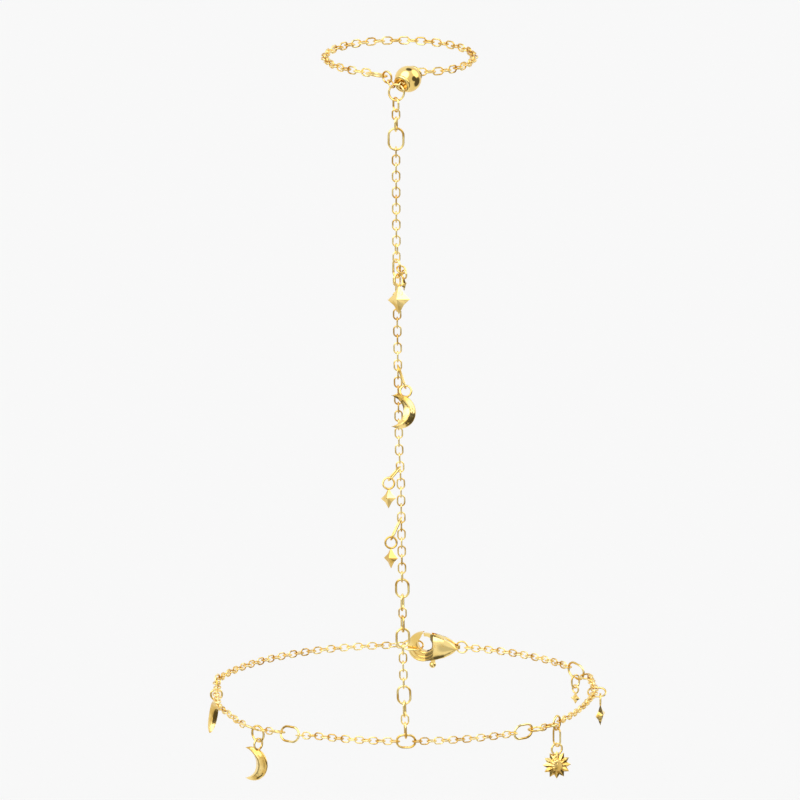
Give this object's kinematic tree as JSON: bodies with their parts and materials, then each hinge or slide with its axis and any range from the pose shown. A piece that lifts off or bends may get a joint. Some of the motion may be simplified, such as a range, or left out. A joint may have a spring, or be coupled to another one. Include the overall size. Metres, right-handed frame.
{
  "type": "hand chain bracelet",
  "caption": "Hand chain bracelet: a wrist loop with a lobster clasp, a finger loop with a slider ball, and a charm strand between them.",
  "frame": {"origin": "centre of the wrist loop", "axes": "+Z along the hand from the wrist loop to the finger loop, -Y to the back of the hand, where the strand runs, +X to the right as seen from there"},
  "size_m": [0.0571, 0.0622, 0.107],
  "materials": {
    "gold": "polished gold plate"
  },
  "bodies": {
    "bracelet": {"finger_chain": "gold", "strand_chain": "gold", "wrist_chain_right": "gold", "wrist_chain_left": "gold", "drop_ring": "gold", "slider_ball": "gold", "clasp_body": "gold", "oval_ring_finger": "gold", "small_ring_finger": "gold", "side_ring_top": "gold", "side_ring_top_low": "gold", "oval_ring_strand": "gold", "star_junction_ring": "gold", "extender_ring_upper": "gold", "side_ring_middle": "gold", "side_ring_middle_low": "gold", "extender_ring_middle": "gold", "extender_ring_lower": "gold", "side_ring_low": "gold", "side_ring_foot": "gold", "centre_ring": "gold", "oval_ring_right": "gold", "side_ring_right_front": "gold", "side_ring_right_back": "gold", "sun_junction_ring": "gold", "side_ring_back": "gold", "oval_ring_back": "gold", "tail_ring": "gold", "catch_ring": "gold", "side_ring_far": "gold", "far_junction_ring": "gold", "long_ring_left": "gold", "moon_junction_ring": "gold", "side_ring_left": "gold", "oval_ring_left": "gold", "moon_strand": "gold", "star_second": "gold", "star_third": "gold", "star_fourth": "gold", "star_fifth": "gold", "sun": "gold", "star_first": "gold", "moon_front": "gold", "moon_left": "gold", "star_sixth": "gold", "moon_strand_ring": "gold", "star_second_ring": "gold", "star_third_ring": "gold", "star_fourth_ring": "gold", "star_fifth_ring": "gold", "sun_ring": "gold", "star_sixth_ring": "gold"},
    "lever": {"clasp_lever": "gold"}
  },
  "joints": [
    {"name": "clasp_lever", "type": "hinge", "parent": "bracelet", "child": "lever", "pos_m": [0.00444, 0.02744, 0.00042], "axis": [-0.1969, -0.9804, 0], "range_deg": [0, 20], "stiffness_Nm_per_rad": 0.0005}
  ]
}
